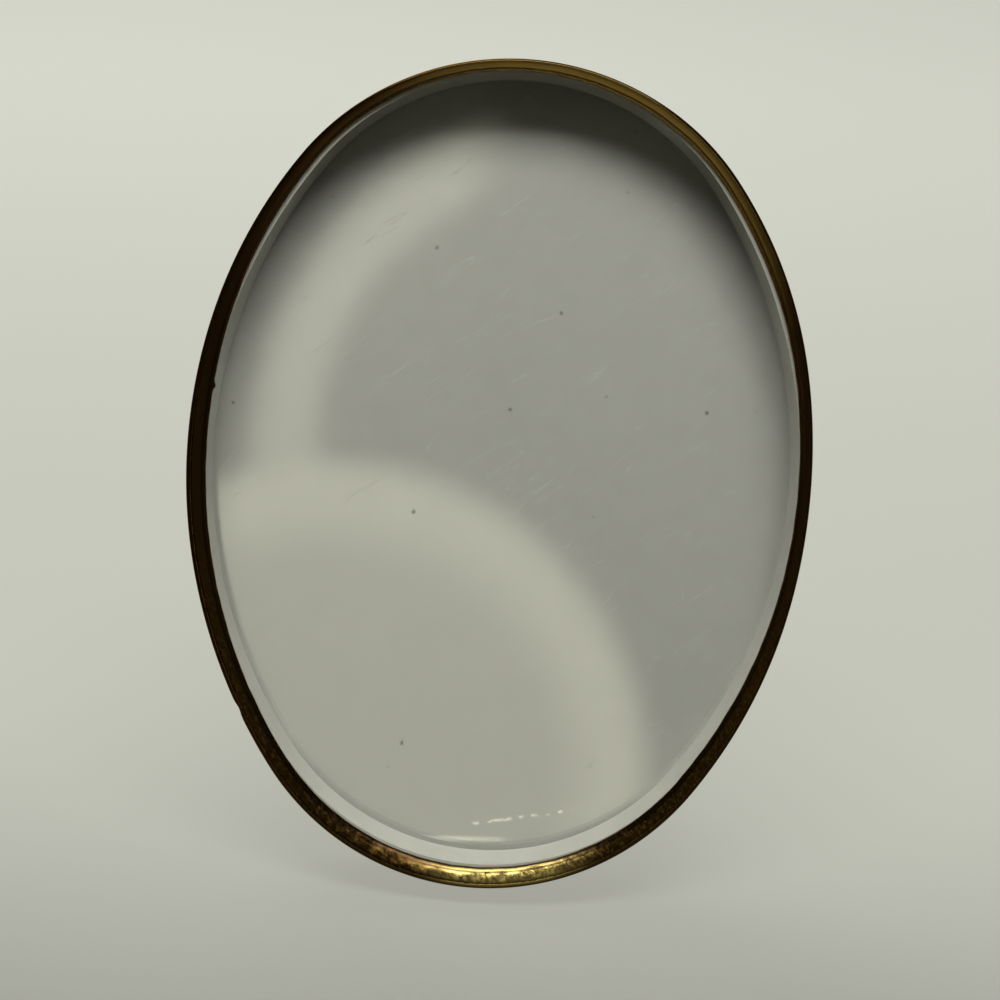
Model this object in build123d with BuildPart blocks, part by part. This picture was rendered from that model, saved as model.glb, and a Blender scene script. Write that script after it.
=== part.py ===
from build123d import *
import os
from math import atan2, cos, degrees, hypot, radians, sin

# Oval picture frame on an easel strut, in millimetres.
# It stands on Z = 0, leaning back, with its front towards -Y and X to the right.

# The oval: a 3 by 4 inch glass sets it, and every other outline is drawn in or out from the rim's
glass_width = 76.2
glass_height = 101.6
rim_over_glass = 1.5        # how far the rim's outer edge stands outside the glass
end_roundness = 0.842       # radius of the top and bottom arcs, as a share of half the width

# Rim, band and liner
rim_width = 1.8
rim_depth = 1.5
rim_rounding = 0.7          # radius on the rim's outer and inner front edges, where its width leaves room
sight_shift_x = 0.15        # the hand-worked rim is wider on the left and at the foot
sight_shift_y = 0.3
band_inset = 0.3            # rim's outer edge to the band's outer face
band_wall = 0.7
liner_gap = 0.05
liner_depth = 5.0
liner_slope = 0.65          # how far the liner's foot stands inside its front edge

# Stack behind the liner
glass_thickness = 1.6
card_thickness = 0.5
board_thickness = 1.6
cover_thickness = 1.5
velvet_thickness = 0.4

# Turn buttons, on lugs inside the band
lug_angle = 25.0            # from the horizontal, about the centre of the side arc
lug_width = 4.6
lug_reach = 4.4
lug_depth = 2.6
notch_gap = 0.25            # round a lug, in the board, cover and velvet
button_width = 4.0
button_reach = 7.0          # from the pivot to the button's tip
button_thickness = 0.8
button_float = 0.1
button_play = 0.05          # radial, on the screw
screw_radius = 0.8
screw_head_radius = 1.7
screw_head_height = 0.7
screw_slot_width = 0.45
screw_slot_depth = 0.3
screw_length = 2.2          # thread inside the lug
thread_gap = 0.02

# Stand
lean = 18.0                 # of the face, from upright
strut_opening = 27.0        # between the back and the strut, at the ribbon's full stretch
hinge_drop = 34.3           # rim's top to the hinge axis, along the face

# Hinge
knuckle_radius = 1.6
pin_radius = 0.7
pin_fit = 0.02              # radial, in the back leaf
pin_play = 0.06             # radial, in the strut leaf
leaf_width = 16.0
leaf_length = 8.5
leaf_thickness = 0.5
leaf_rounding = 1.5         # of the leaves' and the strap's free corners
knuckle_length = 6.0        # of the middle knuckle
knuckle_gap = 0.15
rivet_radius = 0.75
rivet_head_radius = 1.3
rivet_head_height = 0.5
rivet_gap = 0.02
rivet_spacing = 9.0
rivet_set = 5.6             # from the hinge axis to the row of rivets

# Strut
strut_top_width = 15.0
strut_foot_width = 27.0
strut_shoulder = 2.4        # hinge axis to the strut's top edge
strut_thickness = 1.6
strut_velvet_thickness = 0.4

# Stay ribbon
ribbon_width = 7.0
ribbon_thickness = 0.3
ribbon_tab = 6.0
ribbon_back_drop = 32.0     # hinge axis to the ribbon's bend on the back
ribbon_strut_drop = 34.0    # hinge axis to its bend on the strut

# Hanger
hanger_drop = 14.3          # rim's top to the ring's bar, along the face
ring_wire_radius = 0.7
ring_bar_length = 9.0       # between the middles of the ring's two sides
ring_drop = 8.0             # bar to the lowest point of the ring's middle line
ring_corner = 1.5
ring_play = 0.08            # radial, of the bar in the strap's loop
strap_width = 5.6
strap_thickness = 0.5
strap_length = 8.5
strap_rivet_set = 5.0       # ring's bar to the rivets
strap_rivet_spacing = 2.9

# Outline of the oval: two end arcs and two side arcs, which meet on the line through their centres
half_width = glass_width / 2 + rim_over_glass
half_height = glass_height / 2 + rim_over_glass
end_radius = end_roundness * half_width
side_radius = (half_width**2 + half_height**2 - 2 * half_height * end_radius) / (
    2 * (half_width - end_radius)
)
end_centre = half_height - end_radius
side_centre = side_radius - half_width
junction = degrees(atan2(end_centre, side_centre))

# Heights above the oval's middle, along the face
hinge_height = half_height - hinge_drop
hanger_height = half_height - hanger_drop

# The rim's two rounded edges never meet, even where it is narrowest
rim_narrowest = rim_width - hypot(sight_shift_x, sight_shift_y)
rim_radius = min(rim_rounding, 0.48 * rim_narrowest)

# Depths behind the rim's front, counted along the face's normal
liner_back = rim_depth + liner_depth
glass_back = liner_back + glass_thickness
card_back = glass_back + card_thickness
board_back = card_back + board_thickness
cover_back = board_back + cover_thickness
back = cover_back + velvet_thickness
hinge_depth = back + knuckle_radius
loop_radius = ring_wire_radius + ring_play + strap_thickness
hanger_depth = back + loop_radius

# Where the face stands: the band's rear bottom edge is on the floor, and the footprint's middle is at Y = 0
lean_sin = sin(radians(lean))
lean_cos = cos(radians(lean))
face_z = (half_height - band_inset) * lean_cos + back * lean_sin
hinge_z = face_z + hinge_height * lean_cos - hinge_depth * lean_sin
strut_tilt = strut_opening - lean
tilt_sin = sin(radians(strut_tilt))
tilt_cos = cos(radians(strut_tilt))
velvet_rear = leaf_thickness - knuckle_radius
strut_face = velvet_rear + strut_velvet_thickness + strut_thickness
foremost = half_height * lean_sin + rim_radius * (1 - lean_sin - lean_cos)
foot_reach = hinge_height * lean_sin + hinge_depth * lean_cos
foot_reach += (hinge_z * tilt_sin + knuckle_radius - leaf_thickness) / tilt_cos
face_y = (foremost - foot_reach) / 2

face = Plane(origin=(0, face_y, face_z), x_dir=(1, 0, 0), z_dir=(0, -lean_cos, lean_sin))
sight = Plane(
    origin=face.from_local_coords((sight_shift_x, sight_shift_y, 0)), x_dir=face.x_dir, z_dir=face.z_dir
)
hinge_point = face.from_local_coords((0, hinge_height, -hinge_depth))
hanger_point = face.from_local_coords((0, hanger_height, -hanger_depth))
strut = Plane(origin=hinge_point, x_dir=(1, 0, 0), z_dir=(0, -tilt_cos, -tilt_sin))
hinge_axis = Plane(origin=hinge_point, x_dir=face.y_dir, z_dir=(1, 0, 0))
ring_plane = Plane(origin=hanger_point, x_dir=(1, 0, 0), z_dir=(0, -1, 0))
bar_axis = Plane(origin=hanger_point, x_dir=face.y_dir, z_dir=(1, 0, 0))
os.makedirs("parts", exist_ok=True)


def oval(inset, mode=Mode.ADD):
    """The rim's four-arc outline drawn in by inset, added to the sketch in hand."""
    end = end_radius - inset
    side = side_radius - inset
    with BuildLine() as outline:
        CenterArc((-side_centre, 0), side, -junction, 2 * junction)
        CenterArc((0, end_centre), end, junction, 180 - 2 * junction)
        CenterArc((side_centre, 0), side, 180 - junction, 2 * junction)
        CenterArc((0, -end_centre), end, 180 + junction, 180 - 2 * junction)
    make_face(outline.edges(), mode=mode)


def finish(piece, name):
    """Label a piece and write it out."""
    piece.label = name
    export_step(piece, f"parts/{name}.step")


# Where the four lugs stand, each turned so that its own X points out of the oval
lug_distance = side_radius - band_inset - band_wall - lug_reach / 2
lug_places = {}
for row, up in (("upper", 1), ("lower", -1)):
    for column, out in (("left", -1), ("right", 1)):
        place_x = out * (lug_distance * cos(radians(lug_angle)) - side_centre)
        place_y = up * lug_distance * sin(radians(lug_angle))
        turn = up * lug_angle if out > 0 else 180 - up * lug_angle
        lug_places[f"{row}_{column}"] = Location((place_x, place_y), turn)

back_rivet_places = [(side * rivet_spacing / 2, hinge_height + rivet_set) for side in (-1, 1)]
strut_rivet_places = [(side * rivet_spacing / 2, -rivet_set) for side in (-1, 1)]
strap_rivet_places = [(side * strap_rivet_spacing / 2, hanger_height + strap_rivet_set) for side in (-1, 1)]


# Brass rim: a half-round bead round the sight opening
with BuildPart() as rim:
    with BuildSketch(face.offset(-rim_depth)):
        oval(0)
    extrude(amount=rim_depth)
    with BuildSketch(sight.offset(-rim_depth)):
        oval(rim_width)
    extrude(amount=rim_depth, mode=Mode.SUBTRACT)
    front_edges = rim.edges().filter_by(lambda edge: abs(face.to_local_coords(edge @ 0.5).Z) < 1e-4)
    fillet(front_edges, rim_radius)
finish(rim.part, "rim_bead")

# Brass band, soldered behind the rim, that holds the stack
with BuildPart() as band:
    with BuildSketch(face.offset(-back)):
        oval(band_inset)
        oval(band_inset + band_wall, mode=Mode.SUBTRACT)
    extrude(amount=back - rim_depth)
finish(band.part, "side_band")

# White liner: a wall that slopes in from the rim's inner edge to the glass
with BuildPart() as liner:
    with BuildSketch(face.offset(-liner_back)):
        oval(band_inset + band_wall + liner_gap)
    extrude(amount=liner_depth)
    with BuildSketch(sight.offset(-liner_back)):
        oval(rim_width + liner_slope)
    with BuildSketch(sight.offset(-rim_depth)):
        oval(rim_width)
    loft(ruled=True, mode=Mode.SUBTRACT)
finish(liner.part, "sight_liner")

# Glass and the bare card behind it
with BuildPart() as glass:
    with BuildSketch(face.offset(-glass_back)):
        oval(rim_over_glass)
    extrude(amount=glass_thickness)
finish(glass.part, "glass_pane")

with BuildPart() as card:
    with BuildSketch(face.offset(-card_back)):
        oval(rim_over_glass)
    extrude(amount=card_thickness)
finish(card.part, "display_card")


def back_layer(name, depth, thickness, rivet_holes):
    """One layer of the removable back, notched round the lugs and drilled for the rivets."""
    with BuildPart() as layer:
        with BuildSketch(face.offset(-depth)):
            oval(rim_over_glass)
            with Locations(*lug_places.values()):
                Rectangle(lug_reach + 2 * notch_gap, lug_width + 2 * notch_gap, mode=Mode.SUBTRACT)
            with Locations(*rivet_holes):
                Circle(rivet_radius + rivet_gap, mode=Mode.SUBTRACT)
        extrude(amount=thickness)
    finish(layer.part, name)


back_layer("back_cover", cover_back, cover_thickness, back_rivet_places + strap_rivet_places)
back_layer("back_velvet", back, velvet_thickness, back_rivet_places + strap_rivet_places)

# Backing board, with pockets in its rear face for the lugs' front ends
with BuildPart() as board:
    with BuildSketch(face.offset(-board_back)):
        oval(rim_over_glass)
    extrude(amount=board_thickness)
    with BuildSketch(face.offset(-back + lug_depth + notch_gap)):
        with Locations(*lug_places.values()):
            Rectangle(lug_reach + 2 * notch_gap, lug_width + 2 * notch_gap)
    extrude(amount=-lug_depth, mode=Mode.SUBTRACT)
finish(board.part, "backing_board")

# Lugs soldered to the inside of the band, with their threaded holes
with BuildPart() as lugs:
    with BuildSketch(face.offset(-back)):
        with Locations(*lug_places.values()):
            with Locations((lug_reach / 4, 0)):
                Rectangle(1.5 * lug_reach, lug_width)
            Circle(screw_radius + thread_gap, mode=Mode.SUBTRACT)
        oval(band_inset + band_wall, mode=Mode.INTERSECT)
    extrude(amount=lug_depth)
finish(lugs.part, "button_lugs")

# Slotted screws that the buttons turn on
head_front = back + button_float + button_thickness + button_float
with BuildPart() as screws:
    with BuildSketch(face.offset(-head_front)):
        with Locations(*lug_places.values()):
            Circle(screw_radius)
    extrude(amount=head_front - back + screw_length)
    with BuildSketch(face.offset(-head_front - screw_head_height)):
        with Locations(*lug_places.values()):
            Circle(screw_head_radius)
    extrude(amount=screw_head_height)
    with BuildSketch(face.offset(-head_front - screw_head_height)):
        with Locations(*lug_places.values()):
            Rectangle(3 * screw_head_radius, screw_slot_width)
    extrude(amount=screw_slot_depth, mode=Mode.SUBTRACT)
finish(screws.part, "button_screws")

# Turn buttons: flat, round-ended, pointing in over the back
for corner, place in lug_places.items():
    with BuildPart() as button:
        with BuildSketch(face.offset(-head_front + button_float)):
            with Locations(place):
                SlotCenterToCenter(2 * (button_reach - button_width / 2), button_width)
                with Locations((button_reach / 2 + button_width / 4, 0)):
                    Rectangle(button_reach - button_width / 2, button_width, mode=Mode.SUBTRACT)
                Circle(button_width / 2)
                Circle(screw_radius + button_play, mode=Mode.SUBTRACT)
        extrude(amount=button_thickness)
    finish(button.part, f"turn_button_{corner}")

# Hinge: the back leaf carries the two outer knuckles
with BuildPart() as back_leaf:
    with BuildSketch(face.offset(-back)) as back_plate:
        with Locations((0, hinge_height)):
            Rectangle(leaf_width, leaf_length, align=(Align.CENTER, Align.MIN))
        fillet(back_plate.vertices().group_by(Axis.Y)[-1], leaf_rounding)
    extrude(amount=-leaf_thickness)
    with BuildSketch(hinge_axis):
        Circle(knuckle_radius)
    extrude(amount=leaf_width / 2, both=True)
    with BuildSketch(hinge_axis):
        Circle(knuckle_radius + knuckle_gap)
    extrude(amount=knuckle_length / 2 + knuckle_gap, both=True, mode=Mode.SUBTRACT)
    with BuildSketch(hinge_axis):
        Circle(pin_radius + pin_fit)
    extrude(amount=leaf_width, both=True, mode=Mode.SUBTRACT)
    with BuildSketch(face.offset(-back)):
        with Locations(*back_rivet_places):
            Circle(rivet_radius + rivet_gap)
    extrude(amount=-leaf_thickness, mode=Mode.SUBTRACT)
finish(back_leaf.part, "hinge_back_leaf")

with BuildPart() as pin:
    with BuildSketch(hinge_axis):
        Circle(pin_radius)
    extrude(amount=leaf_width / 2, both=True)
finish(pin.part, "hinge_pin")

# The strut leaf carries the middle knuckle and lies on the strut's outer face
leaf_back = strut.offset(-knuckle_radius)
with BuildPart() as strut_leaf:
    with BuildSketch(leaf_back) as strut_plate:
        with Locations((0, -strut_shoulder)):
            Rectangle(strut_top_width, leaf_length - strut_shoulder, align=(Align.CENTER, Align.MAX))
        fillet(strut_plate.vertices().group_by(Axis.Y)[0], leaf_rounding)
        Rectangle(knuckle_length, strut_shoulder + leaf_thickness, align=(Align.CENTER, Align.MAX))
    extrude(amount=leaf_thickness)
    with BuildSketch(hinge_axis):
        Circle(knuckle_radius)
    extrude(amount=knuckle_length / 2, both=True)
    with BuildSketch(hinge_axis):
        Circle(pin_radius + pin_play)
    extrude(amount=knuckle_length, both=True, mode=Mode.SUBTRACT)
    with BuildSketch(leaf_back):
        with Locations(*strut_rivet_places):
            Circle(rivet_radius + rivet_gap)
    extrude(amount=leaf_thickness, mode=Mode.SUBTRACT)
finish(strut_leaf.part, "hinge_strut_leaf")


def rivets(name, plane, places, length):
    """Domed rivets: heads behind the plane, shanks through what lies in front of it."""
    with BuildPart() as row:
        with BuildSketch(plane):
            with Locations(*places):
                Circle(rivet_head_radius)
        extrude(amount=-rivet_head_height)
        crowns = row.edges().filter_by(
            lambda edge: plane.to_local_coords(edge @ 0.5).Z < -rivet_head_height / 2
        )
        fillet(crowns.filter_by(GeomType.CIRCLE), 0.9 * rivet_head_height)
        with BuildSketch(plane):
            with Locations(*places):
                Circle(rivet_radius)
        extrude(amount=length)
    finish(row.part, name)


rivets(
    "hinge_back_rivets",
    face.offset(-back - leaf_thickness),
    back_rivet_places,
    leaf_thickness + velvet_thickness + cover_thickness,
)
rivets(
    "hanger_rivets",
    face.offset(-back - strap_thickness),
    strap_rivet_places,
    strap_thickness + velvet_thickness + cover_thickness,
)
rivets(
    "hinge_strut_rivets",
    leaf_back,
    strut_rivet_places,
    leaf_thickness + strut_velvet_thickness + strut_thickness,
)


def strut_layer(name, rear, thickness):
    """One layer of the strut: tapered, drilled for the rivets, its foot cut level with the floor."""
    with BuildPart() as layer:
        with BuildSketch(strut.offset(rear)):
            with BuildLine():
                foot = -hinge_z / tilt_cos - strut_thickness
                Polyline(
                    (-strut_top_width / 2, -strut_shoulder),
                    (strut_top_width / 2, -strut_shoulder),
                    (strut_foot_width / 2, foot),
                    (-strut_foot_width / 2, foot),
                    close=True,
                )
            make_face()
            with Locations(*strut_rivet_places):
                Circle(rivet_radius + rivet_gap, mode=Mode.SUBTRACT)
        extrude(amount=thickness)
        split(bisect_by=Plane.XY, keep=Keep.TOP)
    finish(layer.part, name)


strut_layer("strut_velvet", velvet_rear, strut_velvet_thickness)
strut_layer("strut_board", velvet_rear + strut_velvet_thickness, strut_thickness)

# Ribbon between the back and the strut, taut at full opening, with a glued tab at each end
half_ribbon = ribbon_thickness / 2
back_bend = face.from_local_coords((0, hinge_height - ribbon_back_drop, -back - half_ribbon))
back_end = face.from_local_coords((0, hinge_height - ribbon_back_drop + ribbon_tab, -back - half_ribbon))
strut_bend = strut.from_local_coords((0, -ribbon_strut_drop, strut_face + half_ribbon))
strut_end = strut.from_local_coords((0, -ribbon_strut_drop - ribbon_tab, strut_face + half_ribbon))
with BuildPart() as ribbon:
    with BuildLine() as route:
        Polyline(back_end, back_bend, strut_bend, strut_end)
    with BuildSketch(Plane(origin=route.line @ 0, x_dir=(1, 0, 0), z_dir=route.line % 0)):
        Rectangle(ribbon_width, ribbon_thickness)
    sweep(transition=Transition.RIGHT)
finish(ribbon.part, "stay_ribbon")

# Hanger: a strap folded round the ring's bar
with BuildPart() as strap:
    with BuildSketch(face.offset(-back)) as strap_plate:
        with Locations((0, hanger_height)):
            Rectangle(strap_width, strap_length, align=(Align.CENTER, Align.MIN))
        fillet(strap_plate.vertices().group_by(Axis.Y)[-1], leaf_rounding)
    extrude(amount=-strap_thickness)
    with BuildSketch(bar_axis):
        Circle(loop_radius)
    extrude(amount=strap_width / 2, both=True)
    with BuildSketch(bar_axis):
        Circle(ring_wire_radius + ring_play)
    extrude(amount=strap_width, both=True, mode=Mode.SUBTRACT)
    with BuildSketch(face.offset(-back)):
        with Locations(*strap_rivet_places):
            Circle(rivet_radius + rivet_gap)
    extrude(amount=-strap_thickness, mode=Mode.SUBTRACT)
finish(strap.part, "hanger_strap")

# D-shaped ring, hanging plumb from its bar
half_bar = ring_bar_length / 2
side_drop = ring_drop - half_bar
with BuildPart() as ring:
    with BuildLine(ring_plane) as wire:
        Line((0, 0), (half_bar - ring_corner, 0))
        CenterArc((half_bar - ring_corner, -ring_corner), ring_corner, 90, -90)
        Line((half_bar, -ring_corner), (half_bar, -side_drop))
        CenterArc((0, -side_drop), half_bar, 0, -180)
        Line((-half_bar, -side_drop), (-half_bar, -ring_corner))
        CenterArc((-half_bar + ring_corner, -ring_corner), ring_corner, 180, -90)
        Line((-half_bar + ring_corner, 0), (0, 0))
    with BuildSketch(Plane(origin=hanger_point, x_dir=(0, 1, 0), z_dir=(1, 0, 0))):
        Circle(ring_wire_radius)
    sweep()
finish(ring.part, "hanger_ring")
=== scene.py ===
# %% [markdown]
# # An oval picture frame on its easel strut
# The real frame is a narrow gilt brass bead round an oval glass, with a white lining inside it, a bare
# card behind the glass and a velvet back with a hinged strut. The solid model already has every piece
# at its size and place, so this lesson only dresses it: finishes, softer shapes, light and a camera.

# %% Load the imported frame
import math

import bmesh
import bpy
from mathutils import Matrix, Vector, noise


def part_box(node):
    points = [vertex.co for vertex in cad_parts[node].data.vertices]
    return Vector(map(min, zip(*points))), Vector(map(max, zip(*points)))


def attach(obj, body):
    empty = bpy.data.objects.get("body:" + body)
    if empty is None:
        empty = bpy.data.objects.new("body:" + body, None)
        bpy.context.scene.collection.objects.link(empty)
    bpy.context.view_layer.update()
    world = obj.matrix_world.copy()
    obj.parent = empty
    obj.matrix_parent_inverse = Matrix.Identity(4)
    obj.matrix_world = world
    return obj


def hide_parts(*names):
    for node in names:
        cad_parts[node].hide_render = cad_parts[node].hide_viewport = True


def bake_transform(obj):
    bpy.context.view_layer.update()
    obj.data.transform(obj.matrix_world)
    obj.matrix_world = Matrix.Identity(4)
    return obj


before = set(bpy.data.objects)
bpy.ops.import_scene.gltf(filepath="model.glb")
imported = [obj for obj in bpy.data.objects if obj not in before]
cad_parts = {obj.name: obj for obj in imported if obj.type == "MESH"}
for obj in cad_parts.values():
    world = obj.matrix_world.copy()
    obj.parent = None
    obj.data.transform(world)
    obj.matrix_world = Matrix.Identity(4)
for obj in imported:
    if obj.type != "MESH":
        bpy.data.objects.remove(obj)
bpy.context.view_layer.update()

# %% [markdown]
# ## Working on a face that leans
# The frame leans back on its strut, so nothing on its face is level. We could work in the leaning
# directions all the time. It is easier to draw flat, in millimetres, with X to the right, Y up the face
# and Z out of it, and to carry each finished mesh into place with one matrix.

# %% Two drawing boards, one on the face and one on the strut
MM = 0.001
lean = math.radians(18)
strut_tilt = math.radians(9)
back_depth = 12.1       # rim's front to the velvet on the back


def drawing_board(origin, out):
    """The matrix that carries a flat drawing in millimetres to a tilted board in metres."""
    right = Vector((1, 0, 0))
    up = out.cross(right)
    turned = Matrix((right, up, out)).transposed().to_4x4()
    return Matrix.Translation(origin) @ turned @ Matrix.Scale(MM, 4)


face_middle = Vector((0, -7.096, 53.194)) * MM
hinge_middle = Vector((0, 11.496, 66.080)) * MM
face = drawing_board(face_middle, Vector((0, -math.cos(lean), math.sin(lean))))
strut = drawing_board(hinge_middle, Vector((0, -math.cos(strut_tilt), -math.sin(strut_tilt))))
rim_low, rim_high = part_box("rim_bead")
print("rim's box, mm:", [round(x / MM, 2) for x in (*rim_low, *rim_high)])

# %% [markdown]
# ## The camera
# The picture is taken almost square on to the glass, from a little above its middle, with the camera
# rolled slightly, so the oval's top leans to the right. We build the camera's axes from the face
# itself. That keeps the oval upright in the numbers and leaning in the picture.

# %% Aim the camera
view_distance = 300     # millimetres from the face
view_rise = math.radians(5.9)
view_roll = math.radians(3.8)
picture_width = 126.3   # millimetres across the picture, at the face
aim = Vector((0.25, -2.7, 0))
eye = aim + view_distance * Vector((0, math.sin(view_rise), math.cos(view_rise)))

ahead = (face @ aim - face @ eye).normalized()
level = ahead.cross(face.to_3x3() @ Vector((0, 1, 0))).normalized()
above = level.cross(ahead)
picture_right = level * math.cos(view_roll) + above * math.sin(view_roll)
picture_up = above * math.cos(view_roll) - level * math.sin(view_roll)

camera = bpy.data.objects.new("camera", bpy.data.cameras.new("camera"))
camera.data.sensor_width = 36
camera.data.lens = 36 * view_distance / picture_width
camera.data.clip_start = 0.01
camera.matrix_world = (
    Matrix.Translation(face @ eye) @ Matrix((picture_right, picture_up, -ahead)).transposed().to_4x4()
)
bpy.context.scene.collection.objects.link(camera)
bpy.context.scene.camera = camera
bpy.context.scene.view_settings.view_transform = "Standard"
print("lens", round(camera.data.lens, 1), "mm, eye at", [round(x, 3) for x in face @ eye])

# %% [markdown]
# ## Light
# One wide soft box hangs high in front. It sits far enough up the face's own slope for the rim and the
# lining to shade the top of the card, which is the deep curved shadow inside the oval, and its width
# softens that shadow at the sides. A second soft box behind lights the velvet back.


# %% Two soft boxes
def soft_box(name, turn, rise, distance, width, height, watts):
    """An area lamp that looks at the frame from a bearing and a height, both in degrees."""
    bearing = math.radians(turn)
    climb = math.radians(rise)
    towards = Vector(
        (math.sin(bearing) * math.cos(climb), -math.cos(bearing) * math.cos(climb), math.sin(climb))
    )
    lamp = bpy.data.objects.new(name, bpy.data.lights.new(name, "AREA"))
    lamp.data.shape = "RECTANGLE"
    lamp.data.size = width
    lamp.data.size_y = height
    lamp.data.energy = watts
    lamp.location = face_middle + distance * towards
    lamp.rotation_mode = "QUATERNION"
    lamp.rotation_quaternion = towards.to_track_quat("Z", "Y")
    bpy.context.scene.collection.objects.link(lamp)


soft_box("front_box", 0, 72, 0.60, 0.50, 0.16, 3.05)
soft_box("rear_box", 205, 40, 0.60, 0.40, 0.30, 2.0)

print("lamps", [lamp.name for lamp in bpy.data.lights])

# %% [markdown]
# ## Helpers for finishes
# Every finish is a small tree of shader nodes. Making nodes one property at a time takes many lines, so
# a few helpers do it: they add a node and set or link its inputs, mix two colours, stretch a value, do
# sums on values and make soft noise.


# %% Node helpers
def put(tree, socket, value):
    """Link a socket to another node's output, or set it to a plain value."""
    if isinstance(value, bpy.types.NodeSocket):
        tree.links.new(value, socket)
    else:
        socket.default_value = value


def add(tree, kind, inputs=None, **settings):
    """A shader node with its settings made and its inputs set or linked."""
    made = tree.nodes.new("ShaderNode" + kind)
    for name, value in settings.items():
        setattr(made, name, value)
    for name, value in (inputs or {}).items():
        put(tree, made.inputs[name], value)
    return made


def mix(tree, share, first, second, way="MIX"):
    """Two colours mixed by share."""
    mixed = add(tree, "Mix", data_type="RGBA", blend_type=way)
    sockets = {socket.identifier: socket for socket in mixed.inputs}
    put(tree, sockets["Factor_Float"], share)
    put(tree, sockets["A_Color"], first)
    put(tree, sockets["B_Color"], second)
    return next(socket for socket in mixed.outputs if socket.identifier == "Result_Color")


def stretch(tree, value, low, high, to_low=0.0, to_high=1.0):
    """A value's run from low to high, eased into a run from to_low to to_high."""
    limits = {"Value": value, "From Min": low, "From Max": high, "To Min": to_low, "To Max": to_high}
    return add(tree, "MapRange", limits, interpolation_type="SMOOTHSTEP").outputs["Result"]


def sums(tree, way, first, second):
    """One arithmetic step on two values."""
    step = add(tree, "Math", operation=way)
    put(tree, step.inputs[0], first)
    put(tree, step.inputs[1], second)
    return step.outputs[0]


def between(tree, value, start, end, ease):
    """1 where a value is between start and end, eased at both."""
    rise = stretch(tree, value, start, start + ease)
    return sums(tree, "MULTIPLY", rise, stretch(tree, value, end - ease, end, 1.0, 0.0))


def cloud(tree, place, scale, detail=3.0):
    """Soft noise, as a value from 0 to 1."""
    return add(tree, "TexNoise", {"Vector": place, "Scale": scale, "Detail": detail}).outputs["Fac"]


def new_group(name, inputs, outputs):
    """An empty node group with named sockets, given as {name: kind}."""
    tree = bpy.data.node_groups.new(name, "ShaderNodeTree")
    for way, sockets in (("INPUT", inputs), ("OUTPUT", outputs)):
        for socket, kind in sockets.items():
            tree.interface.new_socket(name=socket, in_out=way, socket_type="NodeSocket" + kind)
    return tree, tree.nodes.new("NodeGroupInput").outputs, tree.nodes.new("NodeGroupOutput").inputs


def use_group(tree, group, inputs):
    """A node group placed in a finish with its own values."""
    placed = add(tree, "Group", node_tree=group)
    for name, value in inputs.items():
        put(tree, placed.inputs[name], value)
    return placed.outputs


# %% [markdown]
# ## The room
# The glass and the polished bead show what is round them. An even grey room would leave them flat, and
# a bright one would veil the glass. So the room is pale behind the frame, dim in front of it and dimmer
# above. Straight in front of the face, where the glass mirrors it, are two pale shapes, a round one low
# on the left and a crescent above it, and a few bright glints along the foot. We place them by slope,
# which is how far a direction strays from the face's normal for each unit along it.

# %% A plain room, pale behind the frame
room = bpy.data.worlds.new("room")
room.use_nodes = True
sky = room.node_tree
direction = add(sky, "TexCoord").outputs["Generated"]
compass = add(sky, "SeparateXYZ", {"Vector": direction}).outputs
front_wall = (0.16, 0.16, 0.14, 1)
rear_wall = (0.58, 0.585, 0.515, 1)
walls = mix(sky, stretch(sky, compass["Y"], -0.15, 0.6), front_wall, rear_wall)
dim_above = stretch(sky, compass["Z"], 0.25, 0.9, 1.0, 0.3)
walls = mix(sky, 1.0, walls, dim_above, "MULTIPLY")
print("walls run from", front_wall[:3], "in front to", rear_wall[:3], "behind")

# %% The pale shapes that the glass mirrors
from_face = add(sky, "Mapping", {"Vector": direction, "Rotation": (lean, 0, 0)}).outputs["Vector"]
turned = add(sky, "SeparateXYZ", {"Vector": from_face}).outputs
off_face = sums(sky, "MULTIPLY", turned["Y"], -1.0)
slope_right = sums(sky, "DIVIDE", turned["X"], off_face)
slope_up = sums(sky, "DIVIDE", turned["Z"], off_face)
slopes = add(sky, "CombineXYZ", {"X": slope_right, "Y": slope_up}).outputs["Vector"]
in_front = stretch(sky, off_face, 0.88, 0.93)


def slope_from(centre):
    """How far a direction's slopes are from a centre's."""
    apart = add(sky, "VectorMath", operation="DISTANCE")
    put(sky, apart.inputs[0], slopes)
    apart.inputs[1].default_value = (*centre, 0)
    return apart.outputs["Value"]


from_round = slope_from((-0.065, -0.227))
round_share = stretch(sky, from_round, 0.125, 0.145, 1.0, 0.0)
round_tone = stretch(sky, from_round, 0.09, 0.12, 1.1, 1.8)
from_hollow = slope_from((0.040, -0.081))
crescent = stretch(sky, from_hollow, 0.110, 0.128, 0.04, 1.3)
crescent = sums(sky, "MULTIPLY", crescent, stretch(sky, from_hollow, 0.134, 0.155, 1.0, 0.04))
crescent = sums(sky, "MULTIPLY", crescent, stretch(sky, slope_right, -0.03, 0.0, 1.0, 0.04))
mirrored = mix(sky, round_share, crescent, round_tone)
print("a round shape and a crescent stand in front")


# %% The glints along the foot
def streak(left, right, half_width, tone):
    """A thin bright line from one pair of slopes to another."""
    gradient = (right[1] - left[1]) / (right[0] - left[0])
    line = sums(sky, "ADD", sums(sky, "MULTIPLY", slope_right, gradient), left[1] - gradient * left[0])
    off_line = sums(sky, "SUBTRACT", slope_up, line)
    thin = between(sky, off_line, -half_width, half_width, half_width)
    length = between(sky, slope_right, left[0], right[0], 0.008)
    return sums(sky, "MULTIPLY", sums(sky, "MULTIPLY", thin, tone), length)


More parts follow.
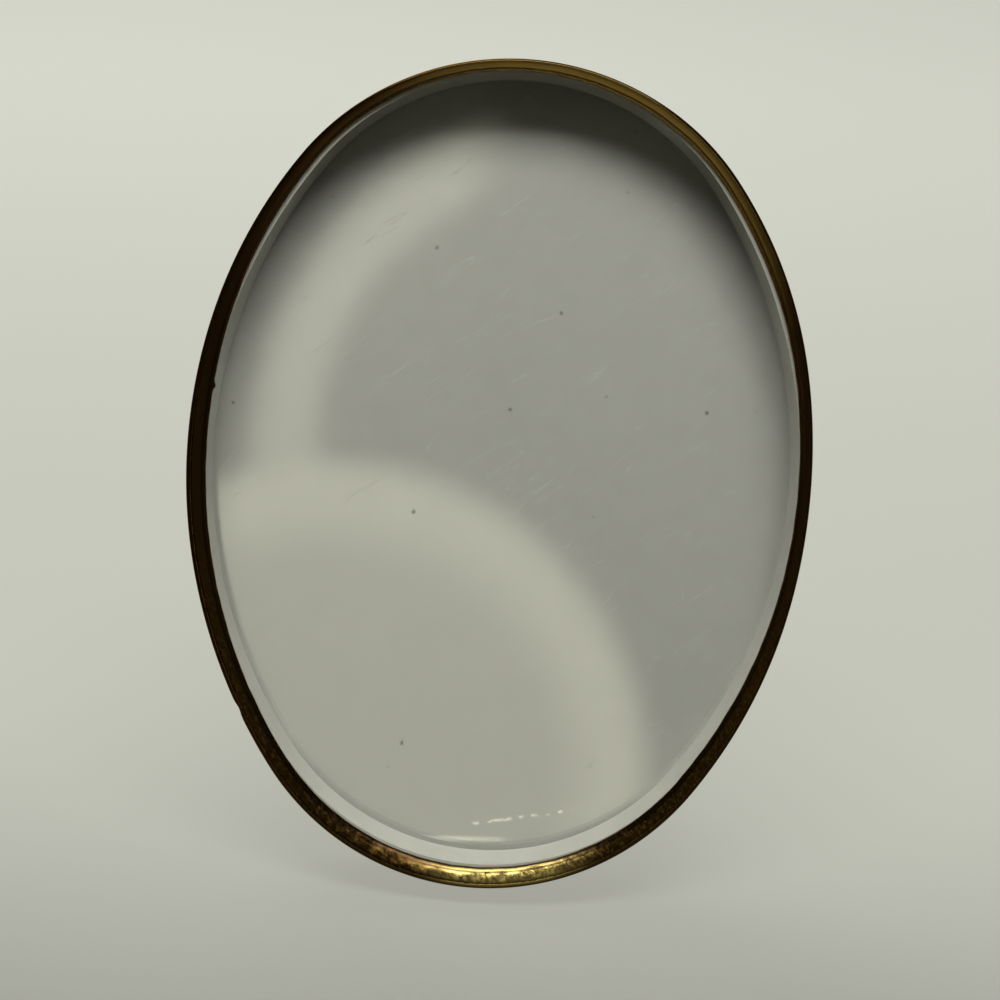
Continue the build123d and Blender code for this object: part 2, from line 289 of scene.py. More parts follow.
dots = stretch(sky, cloud(sky, slopes, 260.0, 0.0), 0.42, 0.58)
tube = streak((-0.0570, -0.2530), (0.0150, -0.2494), 0.0020, 6.0)
tube = sums(sky, "MULTIPLY", tube, stretch(sky, slope_right, -0.040, 0.012, 1.0, 0.3))
string = sums(sky, "MULTIPLY", streak((-0.0080, -0.2446), (0.0420, -0.2344), 0.0012, 4.0), dots)
glints = sums(sky, "ADD", tube, string)
mirrored = mix(sky, 1.0, mirrored, glints, "ADD")
print("two rows of glints stand along the foot")

# %% Hang the room
warm_shapes = mix(sky, 1.0, mirrored, (1.0, 0.99, 0.74, 1), "MULTIPLY")
put(sky, sky.nodes["Background"].inputs["Color"], mix(sky, in_front, walls, warm_shapes))
bpy.context.scene.world = room
print("room has", len(sky.nodes), "nodes")

# %% [markdown]
# ## Effects that several finishes share
# Old brass is not one colour: bright metal shows where hands and cloths rub it, and brown tarnish stays
# elsewhere. Hairline marks, specks of dust and the fibres of card are shared in the same way. Each is a
# node group, so a finish can use it with its own colours and sizes.

# %% Tarnish on brass
tarnish, given, out = new_group(
    "tarnish",
    {"Place": "Vector", "Bright": "Color", "Dark": "Color", "Cover": "Float"},
    {"Colour": "Color", "Mask": "Float"},
)
patches = cloud(tarnish, given["Place"], 0.12, 4.0)
blotches = cloud(tarnish, given["Place"], 0.9, 5.0)
pits = cloud(tarnish, given["Place"], 7.0, 2.0)
stain = sums(tarnish, "MULTIPLY", patches, 0.5)
stain = sums(tarnish, "ADD", stain, sums(tarnish, "MULTIPLY", blotches, 0.35))
stain = sums(tarnish, "ADD", stain, sums(tarnish, "MULTIPLY", pits, 0.15))
tarnish_mask = stretch(tarnish, sums(tarnish, "ADD", stain, given["Cover"]), 0.8, 1.2)
put(tarnish, out["Mask"], tarnish_mask)
put(tarnish, out["Colour"], mix(tarnish, tarnish_mask, given["Bright"], given["Dark"]))
print("tarnish has", len(tarnish.nodes), "nodes")

# %% Hairline marks, which run along the stretched axis of the place they are given
hairlines, given, out = new_group("hairlines", {"Place": "Vector", "Width": "Float"}, {"Mask": "Float"})
drift = sums(hairlines, "SUBTRACT", cloud(hairlines, given["Place"], 1.0, 2.0), 0.5)
off_line = sums(hairlines, "ABSOLUTE", drift, 0.0)
put(hairlines, out["Mask"], stretch(hairlines, off_line, 0.0, given["Width"], 1.0, 0.0))
print("hairlines has", len(hairlines.nodes), "nodes")

# %% Specks of dust
specks, given, out = new_group(
    "specks", {"Place": "Vector", "Scale": "Float", "Size": "Float", "Share": "Float"}, {"Mask": "Float"}
)
wobble = add(specks, "TexNoise", {"Vector": given["Place"], "Scale": 3.0}).outputs["Color"]
loose_place = add(specks, "VectorMath", operation="MULTIPLY_ADD")
put(specks, loose_place.inputs[0], wobble)
loose_place.inputs[1].default_value = (0.35, 0.35, 0.35)
put(specks, loose_place.inputs[2], given["Place"])
cells = add(specks, "TexVoronoi", {"Vector": loose_place.outputs[0], "Scale": given["Scale"]})
spot = stretch(specks, cells.outputs["Distance"], 0.0, given["Size"], 1.0, 0.0)
chance = add(specks, "SeparateColor", {"Color": cells.outputs["Color"]}).outputs["Red"]
chosen = sums(specks, "LESS_THAN", chance, given["Share"])
put(specks, out["Mask"], sums(specks, "MULTIPLY", spot, chosen))
print("specks has", len(specks.nodes), "nodes")

# %% Fibres of card and board
fibres, given, out = new_group("fibres", {"Place": "Vector"}, {"Shade": "Float", "Height": "Float"})
pulp = cloud(fibres, given["Place"], 0.35, 5.0)
strands = cloud(fibres, given["Place"], 6.0, 3.0)
soft_shade = sums(fibres, "MULTIPLY", pulp, 0.6)
put(fibres, out["Shade"], sums(fibres, "ADD", soft_shade, sums(fibres, "MULTIPLY", strands, 0.4)))
put(fibres, out["Height"], strands)
print("effects", [group.name for group in bpy.data.node_groups])

# %% [markdown]
# ## A start for each finish
# All finishes use Object coordinates turned to the leaning face, counted from its middle in
# millimetres. Then X runs to the right, Y into the frame and Z up the face, and a scale of 1 means one
# wave a millimetre.


# %% Start a finish
def start_finish(name, roughness, metallic=0.0):
    """A new material: its node tree, its shader and the place on the face in millimetres."""
    material = bpy.data.materials.new(name)
    material.use_nodes = True
    tree = material.node_tree
    shader = tree.nodes["Principled BSDF"]
    shader.inputs["Roughness"].default_value = roughness
    shader.inputs["Metallic"].default_value = metallic
    where = add(tree, "TexCoord").outputs["Object"]
    middle = Matrix.Rotation(lean, 3, "X") @ face_middle / -MM
    to_face = {"Vector": where, "Location": middle, "Rotation": (lean, 0, 0), "Scale": (1 / MM,) * 3}
    return material, tree, shader, add(tree, "Mapping", to_face).outputs["Vector"]


def stretched(tree, place, scale, turn=0.0):
    """A place turned in the face's plane and stretched, for marks that run one way."""
    turned = add(tree, "Mapping", {"Vector": place, "Rotation": (0, turn, 0)})
    return add(tree, "Mapping", {"Vector": turned.outputs["Vector"], "Scale": scale}).outputs["Vector"]


def bump(tree, shader, height, distance, strength=1.0):
    """Raise a shader's surface by a height map, up to a distance in millimetres."""
    raised = add(tree, "Bump", {"Height": height, "Distance": distance * MM, "Strength": strength})
    put(tree, shader.inputs["Normal"], raised.outputs["Normal"])


# %% [markdown]
# ## Gilt brass
# The bead is old gilt brass, brown along the sides, with fine slanting polishing marks. Part of its colour
# is painted light.
# The warm gold towards the top right is a painted highlight.
# The bright gold at the foot is a painted highlight laid on rubbed wear, where the lamp's highlight falls.
# The dark bands along both edges are painted shade.
# Here the colour changes with the place on the face and across the bead, and the gloss does the rest.

# %% The bead's finish
gilt, tree, shader, place = start_finish("gilt_bead", 0.2, 1.0)
spots = add(tree, "SeparateXYZ", {"Vector": place}).outputs
low_down = stretch(tree, spots["Z"], -5.0, -35.0)
gilt_colours = {"Bright": (0.30, 0.185, 0.030, 1), "Dark": (0.058, 0.029, 0.008, 1)}
aged = use_group(tree, tarnish, {"Place": place, "Cover": 0.8, **gilt_colours})
# Warm gold towards the top right: a painted highlight, where the top of the bead catches the light.
up_and_right = sums(tree, "ADD", spots["Z"], sums(tree, "MULTIPLY", spots["X"], 0.45))
painted_top_highlight = stretch(tree, up_and_right, 36.0, 54.0)
gold = mix(tree, painted_top_highlight, aged["Colour"], (0.26, 0.165, 0.040, 1))
shader.inputs["Specular Tint"].default_value = (0.8, 0.65, 0.45, 1)
print("bead's ground colour made")

# %% Flecks, slanting marks and the bright foot, a painted highlight on rubbed wear
slant = math.radians(40)
grains = cloud(tree, stretched(tree, place, (2.0, 2.0, 1.2), slant), 1.3, 3.0)
flecks = sums(tree, "MULTIPLY", stretch(tree, grains, 0.45, 0.70), low_down)
flecked = mix(tree, flecks, gold, (0.15, 0.092, 0.018, 1))
# The bright gold at the foot is rubbed wear and a painted highlight, set where the lamp's highlight falls.
from_highlight_middle = sums(tree, "ABSOLUTE", sums(tree, "SUBTRACT", spots["X"], 4.0), 0.0)
wear_and_painted_highlight = stretch(tree, from_highlight_middle, 4.0, 13.0, 1.0, 0.0)
wear_and_painted_highlight = sums(tree, "MULTIPLY", wear_and_painted_highlight, stretch(tree, spots["Z"], -40.0, -47.0))
slanting = stretched(tree, place, (2.4, 2.4, 0.5), slant)
marks = use_group(tree, hairlines, {"Place": slanting, "Width": 0.06})["Mask"]
polish = sums(tree, "MULTIPLY", marks, sums(tree, "SUBTRACT", low_down, wear_and_painted_highlight))
highlit_foot = mix(tree, wear_and_painted_highlight, flecked, (0.60, 0.46, 0.14, 1))
marked_and_highlit = mix(tree, polish, highlit_foot, (0.10, 0.055, 0.014, 1))
print("marks slant by", round(math.degrees(slant)), "degrees")

# %% Painted shade along the bead's edges
# The dark bands along the outer edge, near the inner edge and at the lip low down are painted shade and a
# painted dark line in the bead's reflection.
across = add(tree, "Attribute", attribute_name="across").outputs["Fac"]
outer_painted_shade = stretch(tree, across, 0.08, 0.36, 0.96, 0.0)
outer_painted_shade = sums(tree, "MULTIPLY", outer_painted_shade, stretch(tree, across, 0.0, 0.03, 0.75, 1.0))
inner_painted_shade = sums(tree, "MULTIPLY", between(tree, across, 0.70, 0.94, 0.10), 0.9)
lip_painted_shade = sums(tree, "MULTIPLY", stretch(tree, across, 0.80, 0.92, 0.0, 0.9), low_down)
painted_edge_shade = sums(tree, "MAXIMUM", outer_painted_shade, sums(tree, "MAXIMUM", inner_painted_shade, lip_painted_shade))
put(tree, shader.inputs["Base Color"], mix(tree, painted_edge_shade, marked_and_highlit, (0.024, 0.014, 0.007, 1)))
print("bead's edges darkened")

# %% The bead's gloss and hammer marks
rough_grains = sums(tree, "MULTIPLY", grains, low_down)
gloss = stretch(tree, rough_grains, 0.2, 0.7, 0.16, 0.28)
put(tree, shader.inputs["Roughness"], sums(tree, "SUBTRACT", gloss, sums(tree, "MULTIPLY", wear_and_painted_highlight, 0.06)))
hammered = sums(tree, "ADD", cloud(tree, place, 0.55, 1.0), sums(tree, "MULTIPLY", grains, 0.1))
worked = stretch(tree, spots["Z"], 30.0, -30.0, 0.05, 1.0)
bump(tree, shader, sums(tree, "MULTIPLY", hammered, worked), 0.16, 0.5)
print("bead's finish has", len(tree.nodes), "nodes")

# %% The band's finish
band_brass, tree, shader, place = start_finish("band_brass", 0.3, 1.0)
aged = use_group(
    tree,
    tarnish,
    {"Place": place, "Bright": (0.45, 0.29, 0.10, 1), "Dark": (0.13, 0.077, 0.033, 1), "Cover": 0.54},
)
put(tree, shader.inputs["Base Color"], aged["Colour"])
put(tree, shader.inputs["Roughness"], stretch(tree, aged["Mask"], 0.0, 1.0, 0.24, 0.45))
rolled = stretched(tree, place, (0.12, 9.0, 0.12))
drawn_lines = use_group(tree, hairlines, {"Place": rolled, "Width": 0.12})["Mask"]
bump(tree, shader, drawn_lines, 0.02, 0.4)
print("band's finish has", len(tree.nodes), "nodes")

# %% The fittings' finish
fitting_brass, tree, shader, place = start_finish("fitting_brass", 0.28, 1.0)
aged = use_group(
    tree,
    tarnish,
    {"Place": place, "Bright": (0.72, 0.50, 0.20, 1), "Dark": (0.30, 0.18, 0.07, 1), "Cover": 0.42},
)
put(tree, shader.inputs["Base Color"], aged["Colour"])
put(tree, shader.inputs["Roughness"], stretch(tree, aged["Mask"], 0.0, 1.0, 0.2, 0.42))
brushed = stretched(tree, place, (0.5, 8.0, 8.0))
brush_lines = use_group(tree, hairlines, {"Place": brushed, "Width": 0.1})["Mask"]
bump(tree, shader, brush_lines, 0.01, 0.4)
print("fittings' finish has", len(tree.nodes), "nodes")

# %% [markdown]
# ## White lining, glass and card
# The lining is a smooth white enamel that picks up the bead's reflection. The glass is a true pane, so
# it is given a small gap to the card, and lamps are let through it for the shadows. The card is plain
# pale paper with faint fibres and a few specks.

# %% The lining's enamel
enamel, tree, shader, place = start_finish("white_enamel", 0.12)
uneven = cloud(tree, place, 0.25, 3.0)
put(tree, shader.inputs["Base Color"], mix(tree, uneven, (0.53, 0.53, 0.45, 1), (0.60, 0.60, 0.51, 1)))
shader.inputs["Coat Weight"].default_value = 0.4
bump(tree, shader, uneven, 0.1, 0.3)
print("enamel has", len(tree.nodes), "nodes")

# %% The pane's glass
pane_glass, tree, shader, place = start_finish("pane_glass", 0.0)
shader.inputs["Transmission Weight"].default_value = 1.0
shader.inputs["IOR"].default_value = 1.5
dust = use_group(tree, specks, {"Place": place, "Scale": 0.16, "Size": 0.07, "Share": 0.45})["Mask"]
put(tree, shader.inputs["Base Color"], mix(tree, dust, (0.98, 0.98, 0.97, 1), (0.12, 0.09, 0.06, 1)))
long_way = stretched(tree, place, (0.05, 0.4, 0.4), 0.6)
scratches = use_group(tree, hairlines, {"Place": long_way, "Width": 0.004})["Mask"]
put(tree, shader.inputs["Roughness"], stretch(tree, scratches, 0.0, 1.0, 0.0, 0.25))
clear = add(tree, "BsdfTransparent")
lamp_ray = add(tree, "LightPath").outputs["Is Shadow Ray"]
through = add(tree, "MixShader", {"Fac": lamp_ray})
put(tree, through.inputs[1], shader.outputs["BSDF"])
put(tree, through.inputs[2], clear.outputs["BSDF"])
put(tree, tree.nodes["Material Output"].inputs["Surface"], through.outputs["Shader"])
print("glass has", len(tree.nodes), "nodes")

# %% The card
card_paper, tree, shader, place = start_finish("card_paper", 0.75)
paper = use_group(tree, fibres, {"Place": place})
paper_tone = mix(tree, paper["Shade"], (0.29, 0.29, 0.252, 1), (0.34, 0.34, 0.298, 1))
foxing = use_group(tree, specks, {"Place": place, "Scale": 0.5, "Size": 0.06, "Share": 0.12})["Mask"]
put(tree, shader.inputs["Base Color"], mix(tree, foxing, paper_tone, (0.12, 0.10, 0.07, 1)))
shader.inputs["Coat Weight"].default_value = 0.5
shader.inputs["Coat Roughness"].default_value = 0.04
bump(tree, shader, paper["Height"], 0.02, 0.25)
print("card has", len(tree.nodes), "nodes")

# %% [markdown]
# ## Board, velvet and ribbon
# Grey board shows only at edges and on the strut's inner face. Velvet is dark at its heart and pale
# where the pile is seen edge on, which is what the sheen does. Brushing lays the pile in soft patches,
# so two browns are mixed by a slow noise. The ribbon's weave follows two values that the ribbon
# carries, its length and width.

# %% Grey board
grey_board, tree, shader, place = start_finish("grey_board", 0.85)
board_fibres = use_group(tree, fibres, {"Place": place})
board_tone = mix(tree, board_fibres["Shade"], (0.20, 0.17, 0.13, 1), (0.30, 0.26, 0.21, 1))
put(tree, shader.inputs["Base Color"], board_tone)
bump(tree, shader, board_fibres["Height"], 0.05, 0.5)
print("grey board has", len(tree.nodes), "nodes")

# %% Velvet
velvet, tree, shader, place = start_finish("brown_velvet", 0.9)
nap = stretch(tree, cloud(tree, place, 0.09, 4.0), 0.38, 0.62)
pile = cloud(tree, place, 5.0, 4.0)
brushed_tone = mix(tree, nap, (0.032, 0.016, 0.010, 1), (0.085, 0.046, 0.028, 1))
tufts = stretch(tree, pile, 0.45, 0.75)
put(tree, shader.inputs["Base Color"], mix(tree, tufts, brushed_tone, (0.120, 0.070, 0.045, 1)))
shader.inputs["Sheen Weight"].default_value = 0.6
shader.inputs["Sheen Roughness"].default_value = 0.45
shader.inputs["Sheen Tint"].default_value = (0.75, 0.55, 0.42, 1)
bump(tree, shader, pile, 0.12, 0.7)
print("velvet has", len(tree.nodes), "nodes")

# %% Woven ribbon
ribbon_weave, tree, shader, place = start_finish("ribbon_weave", 0.55)
along = add(tree, "Attribute", attribute_name="along").outputs["Fac"]
across = add(tree, "Attribute", attribute_name="across").outputs["Fac"]
rib_pitch = 0.45
warp_pitch = 0.3
rib = sums(tree, "SINE", sums(tree, "MULTIPLY", along, 2 * math.pi / rib_pitch), 0.0)
warp = sums(tree, "SINE", sums(tree, "MULTIPLY", across, 2 * math.pi / warp_pitch), 0.0)
ribs = stretch(tree, sums(tree, "ADD", rib, sums(tree, "MULTIPLY", warp, 0.35)), -1.2, 1.2)
put(tree, shader.inputs["Base Color"], mix(tree, ribs, (0.055, 0.030, 0.018, 1), (0.17, 0.10, 0.062, 1)))
shader.inputs["Sheen Weight"].default_value = 0.25
bump(tree, shader, ribs, 0.08, 0.8)
print("ribbon's weave has", len(tree.nodes), "nodes")

# %% [markdown]
# ## The oval
# The rim's outline is four arcs: two tight ones at the ends and two wide ones at the sides. A curve
# object could follow it, but bmesh's spin does it exactly: spin a profile about each arc's centre in
# turn, each spin starting from the last one's end, and weld the seam.

# %% The oval's arcs
half_width = 39.6
half_height = 52.3
end_radius = 0.842 * half_width
end_centre = half_height - end_radius
end_gap = half_width - end_radius
side_centre = (end_centre**2 - end_gap**2) / (2 * end_gap)
junction = math.atan2(end_centre, side_centre)
oval_arcs = (
    (Vector((-side_centre, 0, 0)), 2 * junction),
    (Vector((0, end_centre, 0)), math.pi - 2 * junction),
    (Vector((side_centre, 0, 0)), 2 * junction),
    (Vector((0, -end_centre, 0)), math.pi - 2 * junction),
)
print("arc radii, sides and ends, mm:", round(side_centre + half_width, 2), round(end_radius, 2))


def corners(parts):
    """The points among a bmesh's parts."""
    return [part for part in parts if isinstance(part, bmesh.types.BMVert)]


def carry(shape, tip, move, steps):
    """Draw a tip straight on, and return where it ends."""
    step = Vector(move) / steps
    return bmesh.ops.spin(shape, geom=tip, dvec=step, axis=(1, 0, 0), angle=0, steps=steps)["geom_last"]


def swing(shape, tip, centre, axis, angle, steps):
    """Draw a tip round an arc, and return where it ends."""
    return bmesh.ops.spin(shape, geom=tip, cent=centre, axis=axis, angle=angle, steps=steps)["geom_last"]


def sweep_oval(shape, profile, steps_a_turn):
    """Carry a profile, drawn at the oval's right-hand side, round the four arcs and weld the seam."""
    start = Matrix.Rotation(-junction, 3, "Z")
    bmesh.ops.rotate(shape, verts=corners(profile), cent=oval_arcs[0][0], matrix=start)
    for centre, angle in oval_arcs:
        steps = round(steps_a_turn * angle / (2 * math.pi))
        profile = swing(shape, profile, centre, (0, 0, 1), angle, steps)
    bmesh.ops.remove_doubles(shape, verts=shape.verts, dist=0.001)


def make_piece(shape, name, material, board, body, smooth=True):
    """Carry a drawn shape to its board, give it its finish and set it on its body."""
    if board is not None:
        bmesh.ops.transform(shape, matrix=board, verts=shape.verts)
    bmesh.ops.recalc_face_normals(shape, faces=shape.faces)
    mesh = bpy.data.meshes.new(name)
    shape.to_mesh(mesh)
    shape.free()
    mesh.materials.append(material)
    mesh.polygons.foreach_set("use_smooth", [smooth] * len(mesh.polygons))
    piece = bpy.data.objects.new(name, mesh)
    bpy.context.scene.collection.objects.link(piece)
    if body is not None:
        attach(piece, body)
    print(name, "has", len(mesh.polygons), "faces")
    return piece


# %% [markdown]
# ## The gilt bead
# The bead is half round, with its crest near its outer edge and a broad belly towards the glass. That
# belly is why the foot of the oval catches the lamp while the sides stay dark. We draw the profile as a
# pen would: up the outside, over the crest, down the belly, round the lip and down. The sweep gives an
# even bead. The real one is made by hand: its inner edge sits a little up and to the right of the outer
# one, its outline and its width wander in slow waves, its slope ripples, and it has one small burr and
# one nick, so small moves of its points follow.

# %% Draw and sweep the bead
rim_width = 1.8
rim_depth = 1.5
crest_radius = 0.4
lip_radius = 0.3
belly_start = math.radians(30)      # tilt of the bead's surface where the crest ends
belly_end = math.radians(46)        # and where the lip begins
sight_shift = Vector((0.15, 0.3, 0))

crest_share = crest_radius * (1 + math.sin(belly_start))
lip_share = lip_radius * (1 - math.sin(belly_end))
belly_radius = (rim_width - crest_share - lip_share) / (math.sin(belly_end) - math.sin(belly_start))

bead = bmesh.new()
across_layer = bead.verts.layers.float.new("across")
outer_foot = bead.verts.new((half_width, 0, -rim_depth))
tip = carry(bead, [outer_foot], (0, 0, rim_depth - crest_radius), 3)
upright = math.pi / 2
tilt = -upright
bends = ((crest_radius, belly_start, 9), (belly_radius, belly_end, 9), (lip_radius, upright, 5))
for radius, next_tilt, steps in bends:
    bend_middle = tip[0].co + radius * Vector((math.sin(tilt), 0, -math.cos(tilt)))
    tip = swing(bead, tip, bend_middle, (0, -1, 0), next_tilt - tilt, steps)
    tilt = next_tilt
tip = carry(bead, tip, (0, 0, -rim_depth - tip[0].co.z), 2)
bead.edges.new((tip[0], outer_foot))
print("bead's inner edge is at", round(tip[0].co.x, 3), "mm, and should be at", half_width - rim_width)
for point in bead.verts:
    point[across_layer] = (half_width - point.co.x) / rim_width
sweep_oval(bead, bead.verts[:] + bead.edges[:], 1300)

# %% Give the bead its hand-made unevenness
burr_place = Vector((-37.2, 9.0, 0))
nick_place = Vector((-31.2, -31.6, 0))
# Each wave: how many run round the oval, its height in millimetres, its phase
outline_waves = ((2, 0.25, math.pi), (3, 0.27, -1.9), (4, 0.10, math.pi), (5, 0.08, 2.2))
width_waves = ((1, 0.22, 2.1), (3, 0.17, -2.9))


def waves(angle, kinds):
    """The sum of a few waves at one place round the oval."""
    return sum(height * math.cos(count * angle + phase) for count, height, phase in kinds)


for point in bead.verts:
    share = point[across_layer]
    crest = math.sin(math.pi * share)
    flat = Vector((point.co.x, point.co.y, 0))
    angle = math.atan2(flat.y, flat.x)
    outward = Vector((flat.x / half_width**2, flat.y / half_height**2, 0)).normalized()
    ripple = 0.05 * noise.noise(flat * 0.15 + Vector((9, 0, 0))) + 0.03 * noise.noise(flat * 0.45)
    outline_drift = 0.25 + waves(angle, outline_waves)
    width_drift = 0.15 + waves(angle, width_waves) + 0.05 * noise.noise(flat * 0.5)
    burr = 0.75 * max(0.0, share - 0.6) * math.exp(-(((flat - burr_place).xy.length / 0.4) ** 2))
    nick = 0.5 * max(0.0, 0.35 - share) * math.exp(-(((flat - nick_place).xy.length / 0.8) ** 2))
    point.co += sight_shift * share
    point.co += outward * (outline_drift - width_drift * share - burr - nick)
    point.co.z += crest * ripple

rim_piece = make_piece(bead, "gilt_rim", gilt, face, "frame")
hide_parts("rim_bead")

# %% [markdown]
# ## The pane
# A pane of glass that touches the card behind it would flicker, because two faces would share one
# place. So the pane is remade three hundredths of a millimetre thinner, with ground edges, from the
# oval's own outline.

# %% Cut the pane
glass_front = 6.5
glass_thickness = 1.57
glass_inset = 1.5

pane = bmesh.new()
edge_point = pane.verts.new((half_width - glass_inset, 0, -glass_front))
sweep_oval(pane, [edge_point], 360)
front_face = bmesh.ops.contextual_create(pane, geom=pane.verts[:] + pane.edges[:])["faces"]
rear = bmesh.ops.extrude_face_region(pane, geom=front_face, use_keep_orig=True)["geom"]
bmesh.ops.translate(pane, vec=(0, 0, -glass_thickness), verts=corners(rear))
pane_piece = make_piece(pane, "glass", pane_glass, face, "frame", smooth=False)
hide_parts("glass_pane")

# %% [markdown]
# ## Finishes for the pieces that keep their solid shape
# Band, lining, card, boards and fittings are hard pieces that are already right, so each only gets a
# finish.

# %% Dress the hard pieces
fittings = [
    "button_lugs",
    "button_screws",
    "hinge_back_leaf",
    "hinge_back_rivets",
    "hinge_pin",
    "hinge_strut_leaf",
    "hinge_strut_rivets",
    "hanger_strap",
    "hanger_rivets",
    "hanger_ring",
    *[f"turn_button_{row}_{side}" for row in ("upper", "lower") for side in ("left", "right")],
]
finishes = {"side_band": band_brass, "sight_liner": enamel, "display_card": card_paper}
finishes |= {name: grey_board for name in ("backing_board", "back_cover", "strut_board")}
finishes |= {name: fitting_brass for name in fittings}
for name, material in finishes.items():
    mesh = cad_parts[name].data
    mesh.materials.clear()
    mesh.materials.append(material)
print("dressed", len(finishes), "hard pieces")

# %% [markdown]
# ## Velvet
# Velvet is glued over the back and over the strut's outer face, and rolls over their edges. Its holes
# and notches have to fit the rivets and lugs, so each cloth starts from a copy of its solid, welded,
# with its outer edges rounded off.


# %% Lay the velvet
def lay_velvet(node, name, body, board, rounding):
    """A velvet skin in a solid's place, its rear edges rounded."""
    cloth = bmesh.new()
    cloth.from_mesh(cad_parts[node].data)
    bmesh.ops.remove_doubles(cloth, verts=cloth.verts, dist=1e-6)
    bmesh.ops.dissolve_limit(cloth, angle_limit=math.radians(1), verts=cloth.verts, edges=cloth.edges)
    to_board = board.inverted()
    depths = {edge: sum((to_board @ corner.co).z for corner in edge.verts) / 2 for edge in cloth.edges}
    rearmost = min(depths.values())
    rims = [edge for edge in cloth.edges if depths[edge] < rearmost + 0.01 and edge.calc_face_angle(0) > 1]
    bmesh.ops.bevel(
        cloth, geom=rims, offset=rounding * MM, affect="EDGES", segments=4, profile=0.5, material=-1
    )
    piece = make_piece(cloth, name, velvet, None, body)
    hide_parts(node)
    return piece


back_cloth = lay_velvet("back_velvet", "velvet_back", "frame", face, 0.25)
strut_cloth = lay_velvet("strut_velvet", "velvet_strut", "strut", strut, 0.25)

# %% [markdown]
# ## The stay ribbon
# A narrow woven ribbon stops the strut from sliding out. It is glued flat to the back, bends, runs taut
# to the strut, bends again and is glued there. We draw one thread across its width and push it along:
# straight runs by extruding, bends by spinning.

# %% Draw the ribbon
ribbon_width = 7.0
ribbon_thickness = 0.3
ribbon_tab = 6.0
bend_radius = 0.5
back_height = -14.0     # of the bend on the back, above the face's middle
strut_height = -34.0    # of the bend on the strut, above the hinge
strut_front = 0.9       # hinge axis to the strut's front face
threads = 14

back_level = -back_depth - ribbon_thickness / 2
strut_level = strut_front + ribbon_thickness / 2
back_bend = face @ Vector((0, back_height, back_level))
back_end = face @ Vector((0, back_height + ribbon_tab, back_level))
strut_bend = strut @ Vector((0, strut_height, strut_level))
strut_end = strut @ Vector((0, strut_height - ribbon_tab, strut_level))
stops = [back_end, back_bend, strut_bend, strut_end]
runs = [after - before for before, after in zip(stops, stops[1:])]
turns = [math.atan2(b.y * a.z - b.z * a.y, a.dot(b)) for a, b in zip(runs, runs[1:])] + [0.0]
trims = [bend_radius * MM * math.tan(abs(turn) / 2) for turn in turns]

ribbon = bmesh.new()
across_layer = ribbon.verts.layers.float.new("across")
along_layer = ribbon.verts.layers.float.new("along")
left_end = ribbon.verts.new(back_end - Vector((ribbon_width / 2 * MM, 0, 0)))
carry(ribbon, [left_end], (ribbon_width * MM, 0, 0), threads)
thread = ribbon.verts[:] + ribbon.edges[:]
before = 0.0
for run, turn, after in zip(runs, turns, trims):
    heading = run.normalized()
    thread = carry(ribbon, thread, run - heading * (before + after), 16)
    if turn:
        inside = Vector((0, -heading.z, heading.y)) * math.copysign(bend_radius * MM, -turn)
        thread = swing(ribbon, thread, corners(thread)[0].co + inside, (1, 0, 0), -turn, 8)
    before = after
ribbon_stop = corners(thread)[0].co
print("ribbon's end is off by, mm:", round((ribbon_stop - strut_end).yz.length / MM, 3))

# %% Weave, thicken and hang the ribbon
ribbon.verts.ensure_lookup_table()
row_size = threads + 1
travelled = 0.0
for first in range(0, len(ribbon.verts), row_size):
    if first > 0:
        travelled += (ribbon.verts[first].co - ribbon.verts[first - row_size].co).yz.length / MM
    for point in ribbon.verts[first : first + row_size]:
        point[across_layer] = point.co.x / MM
        point[along_layer] = travelled
print("ribbon is", round(travelled, 1), "mm long")
stay = make_piece(ribbon, "ribbon", ribbon_weave, None, None)
thicken = stay.modifiers.new("thicken", "SOLIDIFY")
thicken.thickness = ribbon_thickness * MM
thicken.offset = 0
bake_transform(stay)
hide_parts("stay_ribbon")

# %% [markdown]
# ## The floor
# A wide pale floor carries the frame, palest behind it and dimmer towards us, a painted falloff of light.
# Camera and polished brass see it alike, and what they see is mostly a painted glow, which also lightens
# the frame's shadow on it.
# Light that bounces off it on to the card is held back, so the deep shadow at the top of the oval stays
# deep.
# Far out it rises like a shallow dish, which hides the lowest part of the room.

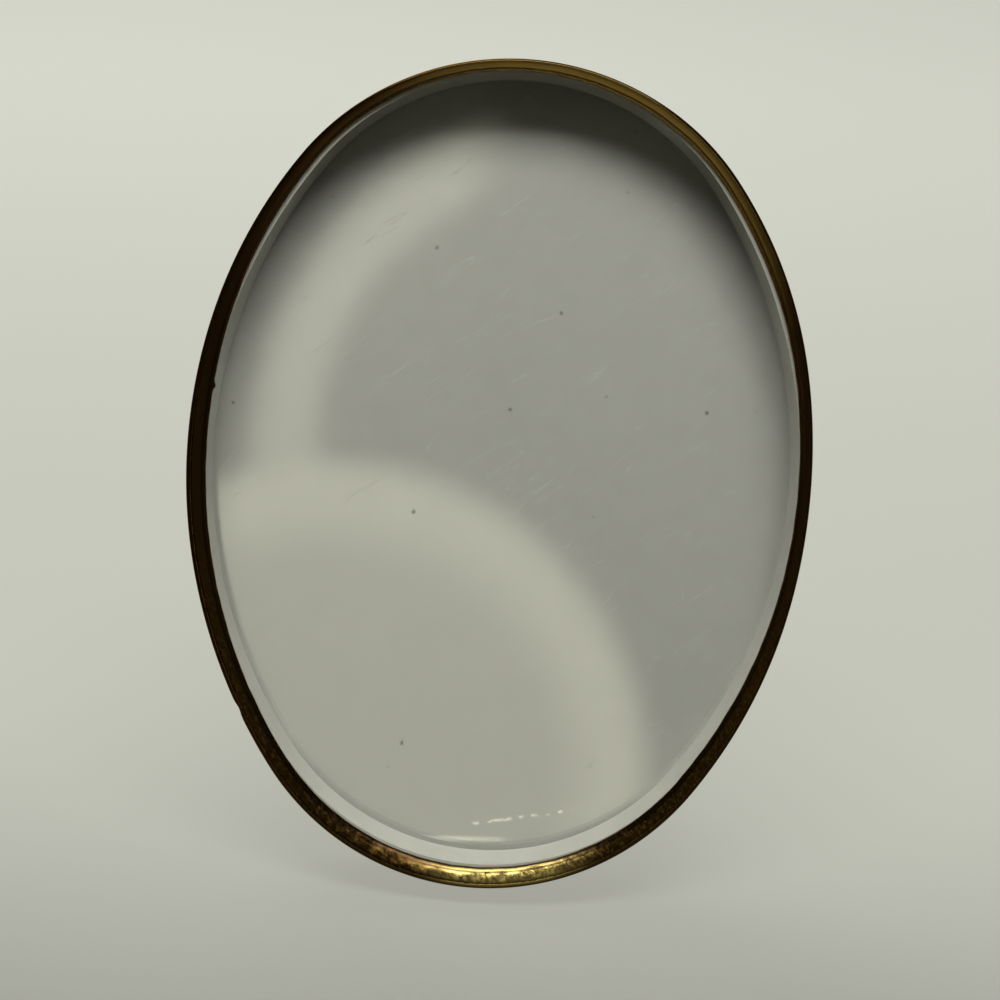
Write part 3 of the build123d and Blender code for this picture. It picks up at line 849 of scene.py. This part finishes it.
# %% The floor's finish
floor_paper, tree, shader, place = start_finish("floor_paper", 0.9)
tree.nodes.remove(shader)
in_room = add(tree, "TexCoord").outputs["Object"]
depth_in_room = add(tree, "SeparateXYZ", {"Vector": in_room}).outputs["Y"]
# Darker towards us: a painted falloff of light, which the bead also mirrors.
front_share = stretch(tree, depth_in_room, -0.15, 0.035)
front_tone = mix(tree, front_share, (0.16, 0.16, 0.14, 1), (0.60, 0.605, 0.53, 1))
floor_tone = mix(tree, stretch(tree, depth_in_room, 0.02, 0.45), front_tone, (0.72, 0.73, 0.645, 1))
ray = add(tree, "LightPath").outputs
seen = sums(tree, "MAXIMUM", ray["Is Glossy Ray"], ray["Is Transmission Ray"])
seen = sums(tree, "MAXIMUM", seen, ray["Is Camera Ray"])
matt = add(tree, "BsdfDiffuse", {"Color": mix(tree, seen, (0.20, 0.14, 0.08, 1), floor_tone)})
# For the camera, glass and metal the floor glows: painted light, which fills the frame's shadow on it.
painted_glow = add(tree, "Emission", {"Color": floor_tone, "Strength": sums(tree, "MULTIPLY", seen, 0.9)})
matt_and_painted_glow = add(tree, "MixShader", {"Fac": 0.8})
put(tree, matt_and_painted_glow.inputs[1], matt.outputs["BSDF"])
put(tree, matt_and_painted_glow.inputs[2], painted_glow.outputs["Emission"])
put(tree, tree.nodes["Material Output"].inputs["Surface"], matt_and_painted_glow.outputs["Shader"])
print("floor's finish has", len(tree.nodes), "nodes")

# %% Lay the floor
dish = [(0, 0), (1.5, 0), (2.0, 0.02), (2.5, 0.08), (3.0, 0.18)]    # reach and height, in metres
ground = bmesh.new()
dish_points = [ground.verts.new((reach, 0, height)) for reach, height in dish]
dish_edges = [ground.edges.new(pair) for pair in zip(dish_points, dish_points[1:])]
dish_profile = dish_points + dish_edges
bmesh.ops.spin(ground, geom=dish_profile, axis=(0, 0, 1), angle=2 * math.pi, steps=96, use_merge=True)
bmesh.ops.remove_doubles(ground, verts=ground.verts[:], dist=1e-5)
floor = make_piece(ground, "floor", floor_paper, None, None)
